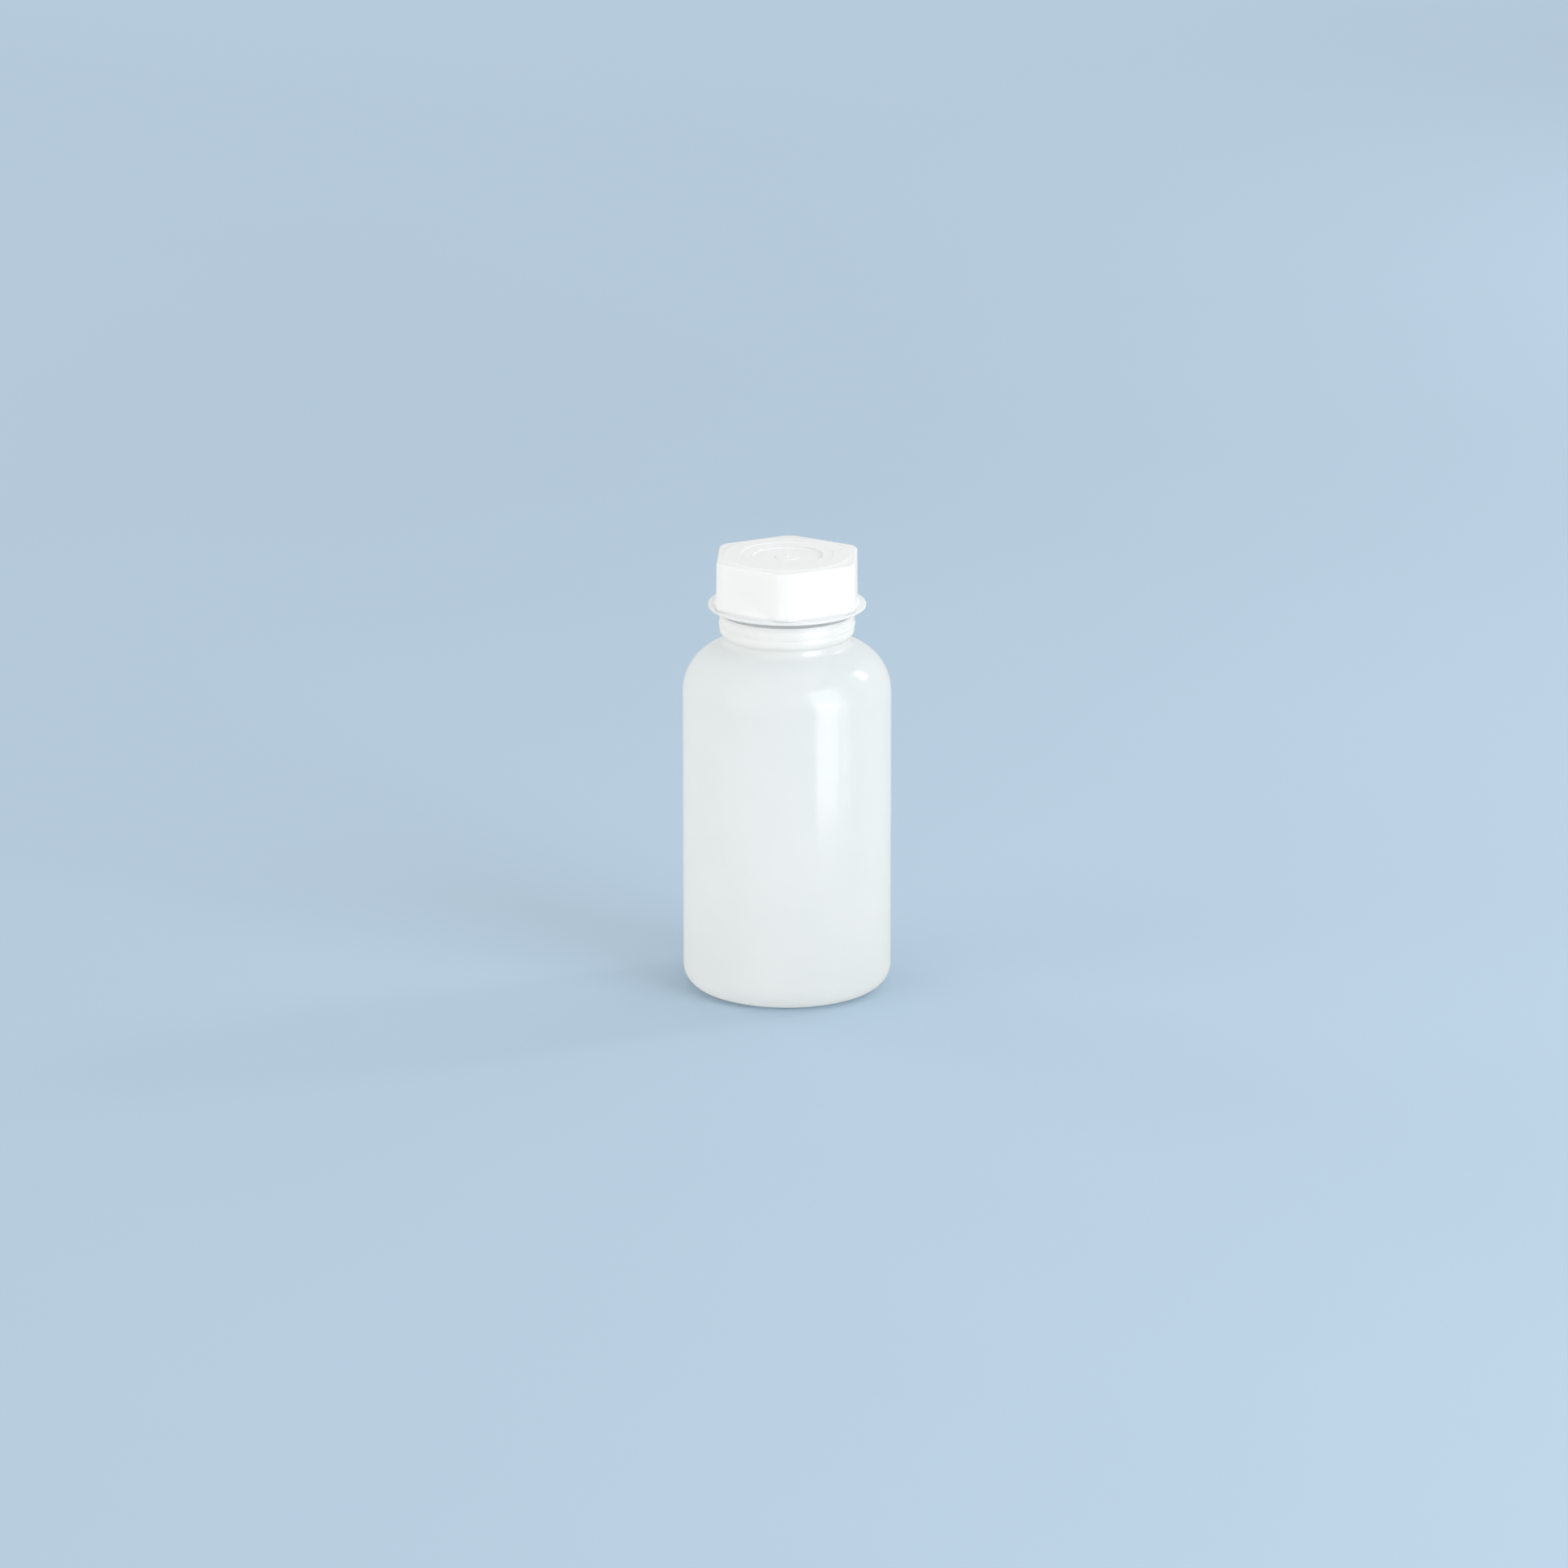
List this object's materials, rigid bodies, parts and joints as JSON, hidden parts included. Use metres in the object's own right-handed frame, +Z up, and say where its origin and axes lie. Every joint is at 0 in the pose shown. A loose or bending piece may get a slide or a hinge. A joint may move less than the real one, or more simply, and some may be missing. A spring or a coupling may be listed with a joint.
{
  "type": "wide-mouth bottle",
  "caption": "Round translucent plastic laboratory bottle with a wide threaded mouth and a six-sided screw cap on a thin flange.",
  "frame": {"origin": "middle of the ring that the bottle stands on", "axes": "+Z up along the bottle's axis; the picture is taken from -Y, so the front is towards -Y and +X is to its right"},
  "size_m": [0.076, 0.076, 0.1632],
  "materials": {
    "bottle_plastic": "natural low-density polyethylene, milky and translucent, smooth with a soft gloss",
    "cap_plastic": "natural polyethylene, milky white where it is thick, smooth with a soft gloss"
  },
  "bodies": {
    "bottle": {"bottle": "bottle_plastic"},
    "cap": {"cap": "cap_plastic"}
  },
  "joints": [
    {"name": "cap_lift", "type": "slide", "parent": "bottle", "child": "cap", "axis": [0, 0, 1], "range_m": [0, 0.035]}
  ]
}
